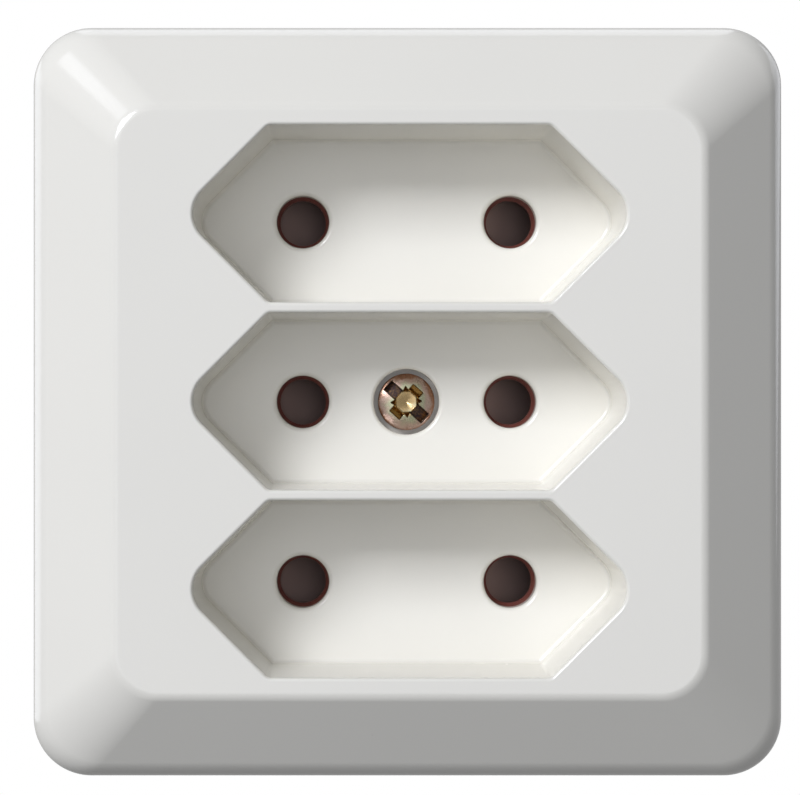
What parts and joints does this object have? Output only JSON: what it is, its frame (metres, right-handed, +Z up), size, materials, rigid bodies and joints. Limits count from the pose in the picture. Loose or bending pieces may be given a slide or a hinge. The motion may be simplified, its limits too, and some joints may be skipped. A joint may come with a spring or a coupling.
{
  "type": "surface-mounted socket",
  "caption": "Square surface-mounted mains socket with stacked hexagonal wells for flat two-pin plugs, a bevelled white cover and sprung shutters behind its pin holes.",
  "frame": {"origin": "middle of the back, in the wall's plane", "axes": "+X to the right seen from the front, +Y into the wall, +Z up"},
  "size_m": [0.069, 0.034, 0.069],
  "materials": {
    "white_cover_plastic": "glossy white moulding, slightly warm",
    "white_base_plastic": "satin off-white moulding",
    "brown_plastic": "glossy dark reddish-brown moulding",
    "yellow_zinc": "yellow passivated zinc with iridescent tints",
    "bright_zinc": "bright zinc-plated steel",
    "spring_steel": "drawn spring wire",
    "brass": "bare stamped or turned brass",
    "bronze": "bare phosphor-bronze strip"
  },
  "bodies": {
    "housing": {"cover": "white_cover_plastic", "base_plate": "white_base_plastic", "contact_block": "brown_plastic", "entry_plate": "brown_plastic", "cover_screw": "yellow_zinc", "threaded_insert": "brass", "block_screws": "bright_zinc", "plate_screws": "bright_zinc", "terminal_screws": "bright_zinc", "clip_rivets": "brass", "upper_shutter_spring": "spring_steel", "upper_left_clip": "bronze", "upper_right_clip": "bronze", "middle_shutter_spring": "spring_steel", "middle_left_clip": "bronze", "middle_right_clip": "bronze", "lower_shutter_spring": "spring_steel", "lower_left_clip": "bronze", "lower_right_clip": "bronze", "left_bus_bar": "brass", "left_terminal": "brass", "right_bus_bar": "brass", "right_terminal": "brass"},
    "upper_slide": {"upper_shutter": "brown_plastic"},
    "middle_slide": {"middle_shutter": "brown_plastic"},
    "lower_slide": {"lower_shutter": "brown_plastic"}
  },
  "joints": [
    {"name": "upper_shutter_slide", "type": "slide", "parent": "housing", "child": "upper_slide", "axis": [-1, 0, 0], "range_m": [0, 0.0049], "stiffness_N_per_m": 120, "springref_m": -0.003, "deforming": ["upper_shutter_spring"]},
    {"name": "middle_shutter_slide", "type": "slide", "parent": "housing", "child": "middle_slide", "axis": [-1, 0, 0], "range_m": [0, 0.0049], "stiffness_N_per_m": 120, "springref_m": -0.003, "deforming": ["middle_shutter_spring"]},
    {"name": "lower_shutter_slide", "type": "slide", "parent": "housing", "child": "lower_slide", "axis": [-1, 0, 0], "range_m": [0, 0.0049], "stiffness_N_per_m": 120, "springref_m": -0.003, "deforming": ["lower_shutter_spring"]}
  ]
}
